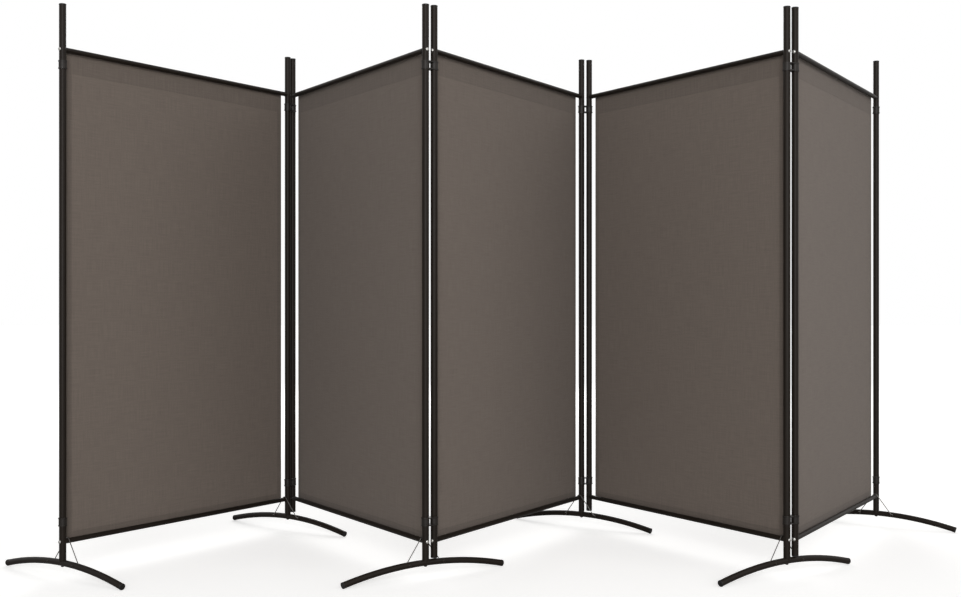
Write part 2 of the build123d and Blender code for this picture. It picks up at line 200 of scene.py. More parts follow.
# %% Node helpers
def linear(hex_colour):
    """Linear RGBA of an sRGB hex colour."""
    values = [int(hex_colour[i:i + 2], 16) / 255 for i in (1, 3, 5)]
    curve = [v / 12.92 if v <= 0.04045 else ((v + 0.055) / 1.055) ** 2.4 for v in values]
    return (*curve, 1.0)


def add_node(tree, kind, settings=None, links=None):
    """Adds one node. settings are its properties or unlinked inputs, links its linked inputs."""
    node = tree.nodes.new("ShaderNode" + kind)
    for key, value in (settings or {}).items():
        if isinstance(key, str) and key not in node.inputs:
            setattr(node, key, value)
        else:
            node.inputs[key].default_value = value
    for key, socket in (links or {}).items():
        tree.links.new(socket, node.inputs[key])
    return node


def new_material(name):
    """An empty material, with its node tree and the output node."""
    material = bpy.data.materials.new(name)
    material.use_nodes = True
    material.node_tree.nodes.clear()
    return material, material.node_tree, add_node(material.node_tree, "OutputMaterial")


def mixed_colour(tree, dark, light, factor):
    """A colour between two, by a socket that gives 0 to 1."""
    return add_node(tree, "Mix", {"data_type": "RGBA", 6: linear(dark), 7: linear(light)},
                    {0: factor}).outputs[2]


# %% [markdown]
# ## Powder-coated steel tube
# The poles, crossbars and feet are thin steel tube, sprayed with dark brown powder and baked.
# The melted powder leaves a satin skin with a faint orange peel, about 1 mm from bump to
# bump. A noise of that size tilts the gloss a little, and a wider noise keeps the colour
# from being dead even. The skin is dull, so its reflections are kept low.

# %% Powder coat
ORANGE_PEEL = 1.4 * MM
SHADE_SPREAD = 90 * MM


def powder_coat():
    material, tree, output = new_material("powder_coat_dark_brown")
    place = add_node(tree, "TexCoord").outputs["Object"]
    shade = add_node(tree, "TexNoise", {"Scale": 1 / SHADE_SPREAD, "Detail": 3.0},
                     {"Vector": place}).outputs["Fac"]
    peel = add_node(tree, "TexNoise", {"Scale": 1 / ORANGE_PEEL, "Detail": 1.0},
                    {"Vector": place}).outputs["Fac"]
    gloss = add_node(tree, "MapRange", {"To Min": 0.40, "To Max": 0.52},
                     {"Value": shade}).outputs[0]
    bump = add_node(tree, "Bump", {"Strength": 0.25, "Distance": 0.03 * MM}, {"Height": peel})
    colour = mixed_colour(tree, "#18130F", "#1F1914", shade)
    shader = add_node(tree, "BsdfPrincipled", {"Specular IOR Level": 0.12},
                      {"Base Color": colour, "Roughness": gloss, "Normal": bump.outputs[0]})
    tree.links.new(shader.outputs[0], output.inputs["Surface"])
    return material


# %% [markdown]
# ## Moulded plastic
# Links and end rings are moulded in dark brown nylon, and the caps and plugs in black
# polyethylene. A spark-eroded mould gives both a fine grain, drawn here at 0.8 mm so that a
# close view shows it. The same few nodes make both, with their own colours.

# %% Moulded plastics
MOULD_GRAIN = 0.8 * MM


def moulded_plastic(name, dark, light, roughness):
    material, tree, output = new_material(name)
    place = add_node(tree, "TexCoord").outputs["Object"]
    shade = add_node(tree, "TexNoise", {"Scale": 1 / (25 * MM), "Detail": 4.0},
                     {"Vector": place}).outputs["Fac"]
    grain = add_node(tree, "TexNoise", {"Scale": 1 / MOULD_GRAIN, "Detail": 2.0},
                     {"Vector": place}).outputs["Fac"]
    gloss = add_node(tree, "MapRange", {"To Min": roughness - 0.05, "To Max": roughness + 0.05},
                     {"Value": grain}).outputs[0]
    bump = add_node(tree, "Bump", {"Strength": 0.3, "Distance": 0.05 * MM}, {"Height": grain})
    colour = mixed_colour(tree, dark, light, shade)
    shader = add_node(tree, "BsdfPrincipled", {"Specular IOR Level": 0.25},
                      {"Base Color": colour, "Roughness": gloss, "Normal": bump.outputs[0]})
    tree.links.new(shader.outputs[0], output.inputs["Surface"])
    return material


# %% [markdown]
# ## Bare and plated steel
# Crossbar screws, press studs and the pins inside the joints are steel with a thin bright zinc
# plating. The brace wires are plain drawn steel, which is darker, and the screws in the feet
# are blackened to go with the paint. Barrel plating and blackening both leave the metal slightly
# clouded, and handling leaves fine scuffs, so the colour and the gloss vary over a few
# millimetres. The same nodes make all three, with their own colours.

# %% Steel finishes
def clouded_steel(name, dark, light):
    material, tree, output = new_material(name)
    place = add_node(tree, "TexCoord").outputs["Object"]
    cloud = add_node(tree, "TexNoise", {"Scale": 1 / (4 * MM), "Detail": 5.0},
                     {"Vector": place}).outputs["Fac"]
    gloss = add_node(tree, "MapRange", {"To Min": 0.26, "To Max": 0.44},
                     {"Value": cloud}).outputs[0]
    colour = mixed_colour(tree, dark, light, cloud)
    shader = add_node(tree, "BsdfPrincipled", {"Metallic": 1.0},
                      {"Base Color": colour, "Roughness": gloss})
    tree.links.new(shader.outputs[0], output.inputs["Surface"])
    return material


# %% [markdown]
# ## Woven polyester
# The sheets are plain-woven polyester in taupe. In a plain weave each thread goes over one
# and under the next, so the cloth is a chequer of small round backs: on one square the warp
# is on top, on the next the weft. The real threads lie 0.5 mm apart, too fine to draw, so
# they are drawn 1.6 mm apart. Their colour is darkened in the grooves between threads and
# lightened a little on their backs, which is painted shade and light over the bump. Spun yarn
# is uneven, which shows as faint streaks along both directions. Everything is laid out on the
# cloth's own flat map, in metres, so that the weave turns round the hems with the cloth.
# Where the hem doubles the cloth its colour is darkened a little: painted shade, for the
# light that shines through one layer of cloth but less through two.

# %% Woven cloth
THREAD_SPACING = 1.6 * MM
STREAK_LENGTH = 70 * MM
STREAK_WIDTH = 3 * MM
CLOTH_DARK = "#675D56"
CLOTH_LIGHT = "#71675F"


def woven_polyester():
    material, tree, output = new_material("woven_polyester_taupe")
    flat = add_node(tree, "UVMap", {"uv_map": "cloth"}).outputs[0]
    axes = add_node(tree, "SeparateXYZ", links={0: flat})
    backs = []
    for axis in ("X", "Y"):
        turns = add_node(tree, "Math", {"operation": "MULTIPLY", 1: math.pi / THREAD_SPACING},
                         {0: axes.outputs[axis]})
        wave = add_node(tree, "Math", {"operation": "SINE"}, {0: turns.outputs[0]})
        backs.append(add_node(tree, "Math", {"operation": "ABSOLUTE"}, {0: wave.outputs[0]}))
    over = add_node(tree, "TexChecker", {"Scale": 1 / THREAD_SPACING}, {"Vector": flat})
    weave = add_node(tree, "Mix", {"data_type": "FLOAT"},
                     {0: over.outputs["Fac"], 2: backs[0].outputs[0], 3: backs[1].outputs[0]})
    streaks = []
    for size in ((STREAK_WIDTH, STREAK_LENGTH), (STREAK_LENGTH, STREAK_WIDTH)):
        stretched = add_node(tree, "VectorMath",
                             {"operation": "MULTIPLY", 1: (1 / size[0], 1 / size[1], 1)},
                             {0: flat})
        streaks.append(add_node(tree, "TexNoise", {"Scale": 1.0, "Detail": 2.0},
                                {"Vector": stretched.outputs[0]}).outputs["Fac"])
    uneven = add_node(tree, "Math", {"operation": "ADD"}, {0: streaks[0], 1: streaks[1]})
    tone = add_node(tree, "MapRange", {"From Min": 0.7, "From Max": 1.3},
                    {"Value": uneven.outputs[0]}).outputs[0]
    yarn = mixed_colour(tree, CLOTH_DARK, CLOTH_LIGHT, tone)
    # Painted shade and light: the colour is darkened in the grooves between threads and lightened a
    # little on their backs
    painted_groove_shade = add_node(tree, "MapRange", {"To Min": 0.86, "To Max": 1.04},
                      {"Value": weave.outputs[0]}).outputs[0]
    # Painted shade: where the hem doubles the cloth its colour is darkened, for the light that
    # shines through one layer but less through two
    doubled = add_node(tree, "Attribute", {"attribute_name": "doubled"}).outputs["Fac"]
    painted_hem_shade = add_node(tree, "MapRange", {"To Min": 1.0, "To Max": 0.87},
                      {"Value": doubled}).outputs[0]
    level = add_node(tree, "Math", {"operation": "MULTIPLY"}, {0: painted_groove_shade, 1: painted_hem_shade})
    colour = add_node(tree, "VectorMath", {"operation": "SCALE"},
                      {0: yarn, "Scale": level.outputs[0]})
    bump = add_node(tree, "Bump", {"Strength": 0.35, "Distance": 0.12 * MM},
                    {"Height": weave.outputs[0]})
    shader = add_node(tree, "BsdfPrincipled",
                      {"Roughness": 0.95, "Specular IOR Level": 0.1, "Sheen Weight": 0.1,
                       "Sheen Roughness": 0.6},
                      {"Base Color": colour.outputs[0], "Normal": bump.outputs[0]})
    tree.links.new(shader.outputs[0], output.inputs["Surface"])
    return material


# %% [markdown]
# ## Sewing thread
# The hems are closed with one row of lock stitch in a thread a shade darker than the cloth.
# Each stitch is a plump little piece of twisted yarn, and its shape is real geometry, so the
# material only needs yarn's dull, slightly uneven colour.

# %% Thread
def sewing_thread():
    material, tree, output = new_material("sewing_thread_brown")
    place = add_node(tree, "TexCoord").outputs["Object"]
    fibre = add_node(tree, "TexNoise", {"Scale": 1 / (0.8 * MM), "Detail": 2.0},
                     {"Vector": place}).outputs["Fac"]
    colour = mixed_colour(tree, "#4A413B", "#5C524B", fibre)
    shader = add_node(tree, "BsdfPrincipled",
                      {"Roughness": 0.8, "Specular IOR Level": 0.2, "Sheen Weight": 0.1},
                      {"Base Color": colour})
    tree.links.new(shader.outputs[0], output.inputs["Surface"])
    return material


# %% Make the finishes
finishes = {
    "frame_paint": powder_coat(),
    "link_plastic": moulded_plastic("moulded_nylon_brown", "#16120F", "#1C1713", 0.5),
    "cap_plastic": moulded_plastic("moulded_polyethylene_black", "#0E0C0B", "#141110", 0.55),
    "bright_steel": clouded_steel("zinc_plated_steel", "#9A9895", "#BDBBB7"),
    "fabric": woven_polyester(),
}
thread = sewing_thread()
drawn_steel = clouded_steel("drawn_steel_wire", "#55524F", "#6B6865")
blackened_steel = clouded_steel("blackened_steel", "#26221F", "#332E2A")
extra_finishes = (thread, drawn_steel, blackened_steel)
print("finishes:", ", ".join(m.name for m in (*finishes.values(), *extra_finishes)))

# %% [markdown]
# ## Finishes for the solids
# The record says which finish each solid takes, so one loop dresses them all.

# %% Dress the solids
slot_of = {part["node"]: part["material_slot"] for part in frame["record"]["subparts"]}
for name, node in nodes.items():
    finish = finishes[slot_of[name]]
    if node.material_slots:
        for material_slot in node.material_slots:
            material_slot.material = finish
    else:
        node.data.materials.append(finish)
print("dressed solids:", len(nodes))

# %% [markdown]
# ## The sheets
# Each sheet is one rectangle of cloth with its four edges turned to the rear and sewn. So it
# is modelled flat, as a grid over the whole cut cloth, and then folded: along each direction
# a point keeps its place on the panel, or, past the edge, comes back behind it. The two folds
# are independent, so the corners fold twice by themselves. Real folds aren't creased sharp,
# so the turn is a small half circle.
#
# The cloth is held behind the crossbars by three press studs each, and pulled tight. It stays
# at its own depth at the studs and bellies out by half a millimetre between them. Over
# the field it gives by about a millimetre, which keeps the light on it from being dead flat.

# %% Sheet sizes
SIDE_GAP = 22.7 * MM
SHEET_WIDTH = PANEL_WIDTH - 2 * SIDE_GAP
LOWER_STUDS_Z = 112 * MM
UPPER_STUDS_Z = 1657 * MM
PAST_STUDS = 6 * MM
SHEET_BOTTOM = LOWER_STUDS_Z - PAST_STUDS
SHEET_TOP = UPPER_STUDS_Z + PAST_STUDS
SHEET_HEIGHT = SHEET_TOP - SHEET_BOTTOM
SIDE_HEM = 20 * MM
TOP_HEM = 75 * MM
BOTTOM_HEM = 30 * MM
CLOTH_Y = 13.0 * MM
CLOTH_THICKNESS = 0.45 * MM
LAYER_STEP = 0.7 * MM
STUD_MARGIN = 60 * MM
STUD_COUNT = 3
STUD_PITCH = (SHEET_WIDTH - 2 * STUD_MARGIN) / (STUD_COUNT - 1)
FIELD_STEP = 22 * MM
EDGE_STATIONS = (1 * MM, 6 * MM)
HEM_STATION = 3 * MM
STUD_ROW_REACH = 70 * MM
SCALLOP_DEPTH = 0.5 * MM
BELLY_DEPTH = 0.9 * MM
DRIFT_DEPTH = 0.2 * MM


def fold_line(length, first_hem, last_hem):
    """Stations along one direction of the cloth: place on the flat cloth, place on the panel,
    depth behind the front layer, and 1 where a hem doubles the cloth.

    Between the edges place and flat place agree. Past an edge the cloth turns round a half
    circle, as wide as the step between layers, and comes back flat to the hem's end."""
    turn = np.linspace(0, math.pi, 5)[1:-1]
    radius = LAYER_STEP / 2
    rows = []
    for at, hem, sign in ((0.0, first_hem, -1), (length, last_hem, 1)):
        back = [(at + sign * s, at - sign * s, LAYER_STEP)
                for s in (hem, hem - HEM_STATION, *EDGE_STATIONS[::-1])]
        round_turn = [(at + sign * radius * (a / 2), at + sign * radius * (math.sin(a) - 1),
                       radius * (1 - math.cos(a))) for a in turn[::-1]]
        rows.append(back + round_turn)
    inner = []
    for at, hem, sign in ((0.0, first_hem, 1), (length, last_hem, -1)):
        inner.append([at + sign * s for s in
                      (*EDGE_STATIONS, hem - HEM_STATION, hem, hem + EDGE_STATIONS[0])])
    steps = int(round((length - first_hem - last_hem) / FIELD_STEP))
    field = np.linspace(inner[0][-1], inner[1][-1], steps + 1)[1:-1]
    front = [(s, s, 0.0) for s in (*inner[0], *field, *inner[1][::-1])]
    line = np.array([*rows[0], *front, *rows[1][::-1]])
    near_edge = (line[:, 1] < first_hem + 0.5 * MM) | (line[:, 1] > length - last_hem - 0.5 * MM)
    return line, near_edge.astype(float)


def give(x, z):
    """How far the tight cloth stands behind its flat place, in metres.

    Near the stud rows it is a raised cosine, nought at each stud. Over the field it is a half
    sine each way, with a faint third harmonic, so that no two parts catch the light alike."""
    from_studs = (x - STUD_MARGIN) / STUD_PITCH
    scallop = 0.5 * (1 - np.cos(2 * math.pi * from_studs))
    rows = (np.exp(-(((SHEET_HEIGHT - z) / STUD_ROW_REACH) ** 2))
            + np.exp(-((z / STUD_ROW_REACH) ** 2)))
    across, up = np.clip(x / SHEET_WIDTH, 0, 1), np.clip(z / SHEET_HEIGHT, 0, 1)
    belly = np.sin(math.pi * across) * np.sin(math.pi * up)
    drift = np.sin(3 * math.pi * across + 1.3 * up) * np.sin(2 * math.pi * up)
    edges = np.sin(math.pi * across)
    return (SCALLOP_DEPTH * scallop * rows * edges + BELLY_DEPTH * belly
            + DRIFT_DEPTH * drift * edges)


across_line, across_double = fold_line(SHEET_WIDTH, SIDE_HEM, SIDE_HEM)
up_line, up_double = fold_line(SHEET_HEIGHT, BOTTOM_HEM, TOP_HEM)
flat_u, flat_v = np.meshgrid(across_line[:, 0], up_line[:, 0])
sheet_x, sheet_z = np.meshgrid(across_line[:, 1], up_line[:, 1])
fold_x, fold_z = np.meshgrid(across_line[:, 2], up_line[:, 2])
doubled = np.maximum(*np.meshgrid(across_double, up_double))
sheet_y = CLOTH_Y + fold_x + fold_z + give(sheet_x, sheet_z)
sheet_points = np.stack([SIDE_GAP + sheet_x, sheet_y, SHEET_BOTTOM + sheet_z], axis=-1)

# %% Hem stitches
STITCH_PITCH = 3.4 * MM
STITCH_LENGTH = 2.7 * MM
STITCH_R = 0.32 * MM
FROM_HEM_END = 3 * MM


def stitch_shape():
    """One stitch along its own z: a row of rings whose radius rises and falls as a half
    ellipse, flattened against the cloth. Rows by columns by x, y, z."""
    t = np.linspace(-1, 1, 6)
    radius = STITCH_R * np.sqrt(np.maximum(0, 1 - t**4))
    angle = np.linspace(0, 2 * math.pi, 5, endpoint=False)
    x = radius[:, None] * np.cos(angle)
    y = 0.6 * radius[:, None] * np.sin(angle)
    return np.stack([x, y, np.broadcast_to(t[:, None] * STITCH_LENGTH / 2, x.shape)], axis=-1)


def stitch_rows():
    """Stitches along the four hems, seen on the front and on the back of the sheet: their
    middles on the panel, and whether each runs up or across."""
    z_low, z_high = BOTTOM_HEM - FROM_HEM_END, SHEET_HEIGHT - TOP_HEM + FROM_HEM_END
    x_low, x_high = SIDE_HEM - FROM_HEM_END, SHEET_WIDTH - SIDE_HEM + FROM_HEM_END
    up = np.arange(6 * MM, SHEET_HEIGHT - 6 * MM, STITCH_PITCH)
    across = np.arange(6 * MM, SHEET_WIDTH - 6 * MM, STITCH_PITCH)
    for x in (x_low, x_high):
        yield np.stack([np.full_like(up, x), up], axis=-1), True
    for z in (z_low, z_high):
        yield np.stack([across, np.full_like(across, z)], axis=-1), False


def stitching():
    """All stitches of one sheet in panel measures: points and faces."""
    shape = stitch_shape()
    blocks = []
    for middles, runs_up in stitch_rows():
        turned = shape if runs_up else shape[..., [2, 1, 0]]
        for depth, side in ((0.0, -1), (LAYER_STEP, 1)):
            x, z = middles[:, 0], middles[:, 1]
            y = CLOTH_Y + depth + give(x, z) + side * (CLOTH_THICKNESS / 2 + 0.05 * MM)
            centre = np.stack([SIDE_GAP + x, y, SHEET_BOTTOM + z], axis=-1)
            blocks.append(centre[:, None, None, :] + turned[None])
    stitches = np.concatenate(blocks)
    count, rows, columns, _ = stitches.shape
    faces = grid_faces(rows, columns, around=True)
    step = np.arange(count)[:, None, None] * rows * columns
    return stitches.reshape(-1, 3), (faces[None] + step).reshape(-1, 4)


stitch_points, stitch_faces = stitching()
print("stitch faces on a sheet:", len(stitch_faces))

# %% [markdown]
# ## Hanging the cloth
# The folded grid goes to each panel, gets its flat map and the doubled marks, and a Solidify
# modifier gives it the thickness of cloth. It stands for the plain solid of the sheet.

# %% Make the sheets
for k in PANELS:
    body = f"panel_{k + 1}"
    points = placed(k, sheet_points)
    faces = grid_faces(*sheet_x.shape, around=False)
    cloth = mesh_piece(f"panel_{k + 1}_cloth", points.reshape(-1, 3), faces, closed=False)
    flat_map = cloth.data.uv_layers.new(name="cloth")
    corners = np.stack([flat_u.ravel(), flat_v.ravel()], axis=-1)[faces.ravel()]
    flat_map.data.foreach_set("uv", corners.astype(np.float32).ravel())
    # The doubled marks darken the hems' colour in the cloth's shader, as painted shade
    marks = cloth.data.attributes.new("doubled", "FLOAT", "POINT")
    marks.data.foreach_set("value", doubled.astype(np.float32).ravel())
    solidify = cloth.modifiers.new("cloth_thickness", "SOLIDIFY")
    solidify.thickness = CLOTH_THICKNESS
    solidify.offset = 0
    cloth.data.materials.append(finishes["fabric"])
    stitches = mesh_piece(f"panel_{k + 1}_hem_stitches", placed(k, stitch_points), stitch_faces)
    stitches.data.materials.append(thread)
    for piece in (cloth, stitches):
        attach(piece, body)
    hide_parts(f"panel_{k + 1}_sheet")
    print(cloth.name, len(points.reshape(-1, 3)), "points")

# %% [markdown]
# ## Screws and nuts
# The solids have plain heads with few sides. The real screws are button heads: a low dome with a hex
# socket. A head is a stack of rings: the socket's floor, its six-sided wall, the dome
# that falls to the rim, and the rim's side. A ring that follows a hexagon has its radius
# divided by the cosine of the angle from the middle of the nearest flat.

# %% Fastener shapes
ROUND_STEPS = 48
RIM_SHARE = 0.22
DOME_POWER = 1.1
SOCKET_FLOOR_SHARE = 0.42


def rings(profile, hexagon_share):
    """Rings of points round z: profile is (radius, height) for each ring, and hexagon_share
    says how far each ring follows a hexagon, from 0 for a circle to 1."""
    angle = np.linspace(0, 2 * math.pi, ROUND_STEPS, endpoint=False)
    sixth = math.pi / 3
    from_flat = np.abs(angle % sixth - sixth / 2)
    six_sided = 1 / np.cos(from_flat)
    rows = []
    for (radius, height), share in zip(profile, hexagon_share):
        r = radius * (1 + share * (six_sided - 1))
        rows.append(np.stack([r * np.cos(angle), r * np.sin(angle), np.full_like(angle, height)],
                             axis=-1))
    return np.array(rows)


def button_head(diameter, height, socket_flats, under):
    """A button head with its seat at height 0, and its shank for a length under the seat.

    At a share s of the radius the dome's height over the rim is sqrt(1 - s squared), raised to
    a power a little over 1, which flattens it."""
    r, socket = diameter / 2, socket_flats / 2

    def dome_height(s):
        return height * (RIM_SHARE + (1 - RIM_SHARE) * math.sqrt(1 - s**2) ** DOME_POWER)

    dome = [(r * s, dome_height(s)) for s in (socket * 1.25 / r, 0.75, 0.88, 0.96, 0.995)]
    top = dome_height(socket * 1.16 / r)
    floor = height * SOCKET_FLOOR_SHARE
    profile = [(0, floor), (socket * 0.97, floor), (socket, floor + 0.1 * MM), (socket, top),
               (socket * 1.18, top + 0.02 * MM), *dome, (r, height * 0.18), (r, 0.0),
               (r * 0.5, 0.0), (r * 0.5, -under), (0, -under)]
    share = [1, 1, 1, 1, 0.2] + [0] * (len(profile) - 5)
    return rings(profile, share)


def hex_nut(across_corners, height, thread_r, past):
    """A nut with turned-down corners, and the end of its screw standing past it."""
    flat = across_corners / 2 * math.cos(math.pi / 6)
    bevel = 0.12 * across_corners / 2
    profile = [(0, 0), (flat * 0.96, 0), (flat, bevel), (flat, height - bevel),
               (flat * 0.96, height), (thread_r * 1.12, height), (thread_r, height - 0.2 * MM),
               (thread_r, height + past - 0.4 * MM), (thread_r * 0.8, height + past),
               (0, height + past)]
    share = [0, 0.2, 1, 1, 0.2, 0, 0, 0, 0, 0]
    return rings(profile, share)


def spacer(diameter, length):
    """A plain short tube end between foot and eye."""
    r = diameter / 2
    return rings([(0, 0), (r - 0.15 * MM, 0), (r, 0.15 * MM), (r, length - 0.15 * MM),
                  (r - 0.15 * MM, length), (0, length)], [0] * 6)


def along_panel(shape, x, y, z, sign):
    """Turns a shape's own z to point along the panel, by sign, and puts its foot at x, y, z."""
    turned = np.stack([sign * shape[..., 2], shape[..., 0], shape[..., 1]], axis=-1)
    return turned + np.array([x, y, z])


def downwards(shape, x, y, z):
    """Turns a shape's own z to point down."""
    turned = np.stack([shape[..., 0], shape[..., 1], -shape[..., 2]], axis=-1)
    return turned + np.array([x, y, z])


# %% Where the screws are
POLE_R = 11 * MM
FOOT_R = 10 * MM
# A head's diameter, height and socket width across flats, and its shank's drawn length
BAR_HEAD = (11 * MM, 3.3 * MM, 4 * MM, 30 * MM)
BRACE_HEAD = (9 * MM, 2.8 * MM, 3 * MM, 20 * MM)
BRACE_REACH = 62 * MM
FOOT_HALF_SPAN = 287 * MM
FOOT_RISE = 35 * MM
FOOT_CROWN_Z = 45.5 * MM
FOOT_ARC_R = (FOOT_HALF_SPAN**2 + FOOT_RISE**2) / (2 * FOOT_RISE)
BRACE_Z = FOOT_CROWN_Z - FOOT_ARC_R + math.sqrt(FOOT_ARC_R**2 - BRACE_REACH**2)
FOOT_UNDERSIDE = 35.4 * MM
SPACER = (10 * MM, 1.5 * MM)
EYE_FACE = 14.5 * MM
NUT = (9 * MM, 3 * MM)


def bar_screws():
    """The crossbar screws' heads on the outer sides of both poles, in panel measures."""
    return [along_panel(button_head(*BAR_HEAD), x - inward * POLE_R, 0, z, -inward)
            for x, inward in ((0.0, 1), (PANEL_WIDTH, -1))
            for z in (LOWER_STUDS_Z, UPPER_STUDS_Z)]


def foot_screws(k):
    """Brace screws with their spacers and nuts, and the bolt under each footed pole."""
    shapes = []
    for x, inward in ((0.0, 1), (PANEL_WIDTH, -1)):
        if k > 0 and x == 0.0:
            continue
        for y in (-BRACE_REACH, BRACE_REACH):
            shapes.append(along_panel(button_head(*BRACE_HEAD), x - inward * FOOT_R, y,
                                      BRACE_Z, -inward))
            shapes.append(along_panel(spacer(*SPACER), x + inward * FOOT_R, y, BRACE_Z, inward))
            shapes.append(along_panel(hex_nut(*NUT, thread_r=2.5 * MM, past=0.0),
                                      x + inward * EYE_FACE, y, BRACE_Z, inward))
        shapes.append(downwards(button_head(*BAR_HEAD), x, 0, FOOT_UNDERSIDE))
    return shapes


for k in PANELS:
    for name, shapes, finish in (("bar_screws", bar_screws(), finishes["bright_steel"]),
                                 ("foot_screws", foot_screws(k), blackened_steel)):
        points, faces = many_grids(shapes)
        screws = mesh_piece(f"panel_{k + 1}_{name}", placed(k, points), faces)
        split_edges(screws)
        screws.data.materials.append(finish)
        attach(screws, f"panel_{k + 1}")
        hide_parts(f"panel_{k + 1}_bolts")
        print(screws.name, len(faces), "faces")

# %% [markdown]
# ## Press studs
# Each crossbar carries three press studs in its rear wall, and the cloth is pressed onto them.
# A stud is turned from one piece, so it is a lathed profile: a post through the bar's wall, a
# collar that the cloth lies against, a neck through the eyelet, and a thin domed cap behind.

# %% Press studs
BAR_R = 8 * MM
BAR_WALL = 1 * MM
CLOTH_FRONT = CLOTH_Y - CLOTH_THICKNESS / 2
HEM_BACK = CLOTH_Y + LAYER_STEP + CLOTH_THICKNESS / 2


def press_stud():
    """A stud along its own z, measured from the panel's middle plane to the rear."""
    cap = [(r * MM, HEM_BACK + rise * MM) for r, rise in (
        (6.3, 0.0), (6.5, 0.2), (6.5, 0.5), (6.1, 0.9), (4.6, 1.5), (2.6, 1.9), (0.0, 2.1))]
    profile = [(0, BAR_R - BAR_WALL), (3 * MM, BAR_R - BAR_WALL), (3 * MM, BAR_R - 0.2 * MM),
               (4.6 * MM, BAR_R), (5.5 * MM, BAR_R + 0.5 * MM), (5.5 * MM, CLOTH_FRONT - 0.5 * MM),
               (5.1 * MM, CLOTH_FRONT), (3 * MM, CLOTH_FRONT), (3 * MM, HEM_BACK), *cap]
    return rings(profile, [0] * len(profile))


def rearwards(shape, x, y, z):
    """Turns a shape's own z to point to the rear, and puts its foot at x, y, z."""
    return shape[..., [0, 2, 1]] + np.array([x, y, z])


stud_shapes = [
    rearwards(press_stud(), SIDE_GAP + STUD_MARGIN + i * STUD_PITCH, 0, z)
    for z in (LOWER_STUDS_Z, UPPER_STUDS_Z) for i in range(STUD_COUNT)
]
for k in PANELS:
    points, faces = many_grids(stud_shapes)
    studs = mesh_piece(f"panel_{k + 1}_press_studs", placed(k, points), faces)
    split_edges(studs)
    studs.data.materials.append(finishes["bright_steel"])
    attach(studs, f"panel_{k + 1}")
    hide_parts(f"panel_{k + 1}_sheet_studs")
print("press studs on a panel:", len(stud_shapes))

# %% [markdown]
# ## Brace wires
# A bright wire hooks over the lower crossbar beside each footed pole. It runs down to the
# foot on both sides and ends in flattened eyes, which the brace screws hold. The route
# is worked out in the wire's own leaning plane: two straight legs and the arc over the bar.
# A circle is carried along it. The route is flat, so every ring shares one side direction.

# %% Brace wires
WIRE_R = 1.5 * MM
EYE_R = 5 * MM
EYE_HOLE_R = 2.55 * MM
EYE_EDGE = 0.7 * MM
EYE_SINK = 0.6 * MM
BRACE_BAR_STANDOFF = 4.5 * MM
BRACE_FOOT_X = FOOT_R + SPACER[1] + WIRE_R
BRACE_BAR_X = POLE_R + BRACE_BAR_STANDOFF + WIRE_R
ARC_STEPS = 25
LEG_STEPS = 8
WIRE_STEPS = 16


def wire_route():
    """Points of the wire's middle line, as (sideways, upwards in the leaning plane), and the
    plane's lean towards the panel's middle.

    The arc's centre is the bar's middle, its radius the bar's, stretched by the lean, and half
    the wire's. The legs are the tangents to it from near the eyes."""
    lean = math.atan2(BRACE_BAR_X - BRACE_FOOT_X, LOWER_STUDS_Z - BRACE_Z)
    bar_height = (LOWER_STUDS_Z - BRACE_Z) / math.cos(lean)
    wrap_r = BAR_R / math.cos(lean) + WIRE_R
    to_bar = math.hypot(BRACE_REACH, bar_height)
    leg_angle = math.atan2(BRACE_REACH, bar_height) - math.asin(wrap_r / to_bar)
    turn = np.linspace(math.pi - leg_angle, leg_angle, ARC_STEPS)
    arc = np.stack([wrap_r * np.cos(turn), bar_height + wrap_r * np.sin(turn)], axis=-1)
    sunk = EYE_R - EYE_SINK
    end = np.array([BRACE_REACH - sunk * math.sin(leg_angle), sunk * math.cos(leg_angle)])
    leg = arc[-1] + np.linspace(0, 1, LEG_STEPS)[1:, None] * (end - arc[-1])
    return np.concatenate([leg[::-1] * [-1, 1], arc, leg]), lean


def wire_tube():
    """Rings round the route: middle + radius * (cosine * side + sine * across), where across
    is the route's direction turned by a quarter in its plane. The ends close to a point."""
    route, lean = wire_route()
    direction = np.gradient(route, axis=0)
    direction /= np.linalg.norm(direction, axis=1, keepdims=True)
    across = np.stack([-direction[:, 1], direction[:, 0]], axis=-1)
    route, across = (np.concatenate([a[:1], a, a[-1:]]) for a in (route, across))
    radius = np.full((len(route), 1), WIRE_R)
    radius[[0, -1]] = 0
    angle = np.linspace(0, 2 * math.pi, WIRE_STEPS, endpoint=False)
    in_plane = route[:, None] + (radius * np.sin(angle))[..., None] * across[:, None]
    return in_plane, radius * np.cos(angle), lean


def brace_wire(x, inward):
    """The wire in panel measures. The plane leans inwards by its angle as it rises."""
    in_plane, aside, lean = wire_tube()
    up = in_plane[..., 1]
    along = BRACE_FOOT_X + up * math.sin(lean) + aside * math.cos(lean)
    height = BRACE_Z + up * math.cos(lean) - aside * math.sin(lean)
    return np.stack([x + inward * along, in_plane[..., 0], height], axis=-1)


def wire_eye():
    """A flattened eye: a ring of rounded rectangular section, from its face at height 0."""
    wire_d, soft = 2 * WIRE_R, EYE_EDGE
    inset = soft * 0.3
    profile = [(EYE_HOLE_R, 0), (EYE_R - soft, 0), (EYE_R - inset, inset), (EYE_R, soft),
               (EYE_R, wire_d - soft), (EYE_R - inset, wire_d - inset),
               (EYE_R - soft, wire_d), (EYE_HOLE_R, wire_d), (EYE_HOLE_R, 0)]
    return rings(profile, [0] * len(profile))


